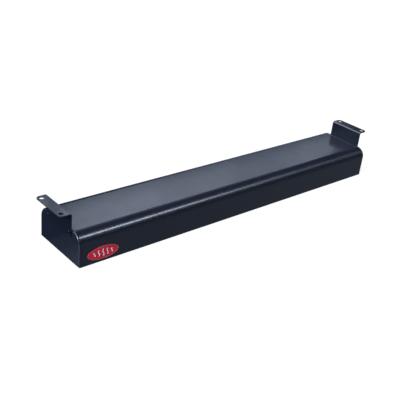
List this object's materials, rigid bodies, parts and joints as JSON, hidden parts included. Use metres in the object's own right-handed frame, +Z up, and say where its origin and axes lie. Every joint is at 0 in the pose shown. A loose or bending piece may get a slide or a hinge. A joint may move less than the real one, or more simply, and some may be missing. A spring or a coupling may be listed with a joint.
{
  "type": "infrared strip heater",
  "caption": "Long infrared strip heater for holding food warm, with a rounded housing, end caps, underside reflector and element, and L brackets for hanging under a shelf.",
  "frame": {"origin": "centre of the bottom rim, under the middle of the overall box", "axes": "+X along the heater from the plain end to the switch end, -Y out of the badge side, +Z up towards the shelf"},
  "size_m": [0.971, 0.1544, 0.114],
  "materials": {
    "navy_powder_coat": "satin powder coat with a fine orange-peel texture",
    "black_painted_steel": "satin powder coat on bent steel strip",
    "black_screws": "black oxide",
    "zinc_screws": "bright zinc plate",
    "green_screw": "green grounding screw",
    "bright_aluminium": "bright rolled reflector sheet",
    "rivet_aluminium": "plain rivet",
    "element_sheath": "oxidised nickel alloy sheath",
    "white_ceramic": "unglazed steatite",
    "hanger_steel": "plain stainless strip",
    "terminal_brass": "tinned brass",
    "satin_steel_cover": "satin sheet",
    "switch_black_plastic": "moulded phenolic",
    "chrome_trim": "bright nickel",
    "chrome_lever": "bright nickel",
    "bushing_nylon": "black nylon",
    "block_ceramic": "steatite",
    "wire_white": "braided glass sleeve",
    "wire_black": "braided glass sleeve",
    "badge_red": "red plate with a raised light rim and motif"
  },
  "bodies": {
    "heater": {"housing": "navy_powder_coat", "end_cap_left": "navy_powder_coat", "end_cap_right": "navy_powder_coat", "bracket_left": "black_painted_steel", "bracket_right": "black_painted_steel", "bracket_screws": "black_screws", "cover_screws": "zinc_screws", "reflector_screws": "zinc_screws", "ground_screw": "green_screw", "reflector": "bright_aluminium", "reflector_end_left": "bright_aluminium", "reflector_end_right": "bright_aluminium", "reflector_rivets": "rivet_aluminium", "heating_element": "element_sheath", "element_bushing_left": "white_ceramic", "element_bushing_right": "white_ceramic", "element_hanger_left": "hanger_steel", "element_hanger_middle": "hanger_steel", "element_hanger_right": "hanger_steel", "element_insulators": "white_ceramic", "element_studs": "zinc_screws", "terminal_nuts": "zinc_screws", "ring_terminals": "terminal_brass", "left_cover": "satin_steel_cover", "wiring_cover": "satin_steel_cover", "switch": "switch_black_plastic", "switch_tabs": "terminal_brass", "switch_washer": "chrome_trim", "switch_nut": "chrome_trim", "wire_entry_bushing": "bushing_nylon", "terminal_block": "block_ceramic", "terminal_screws": "zinc_screws", "return_wire": "wire_white", "supply_wire": "wire_black", "element_wire": "wire_black", "badge": "badge_red"},
    "lever": {"switch_lever": "chrome_lever"}
  },
  "joints": [
    {"name": "switch_toggle", "type": "hinge", "parent": "heater", "child": "lever", "pos_m": [0.46, -0.034, 0.034], "axis": [0, -1, 0], "range_deg": [0, 26]}
  ]
}
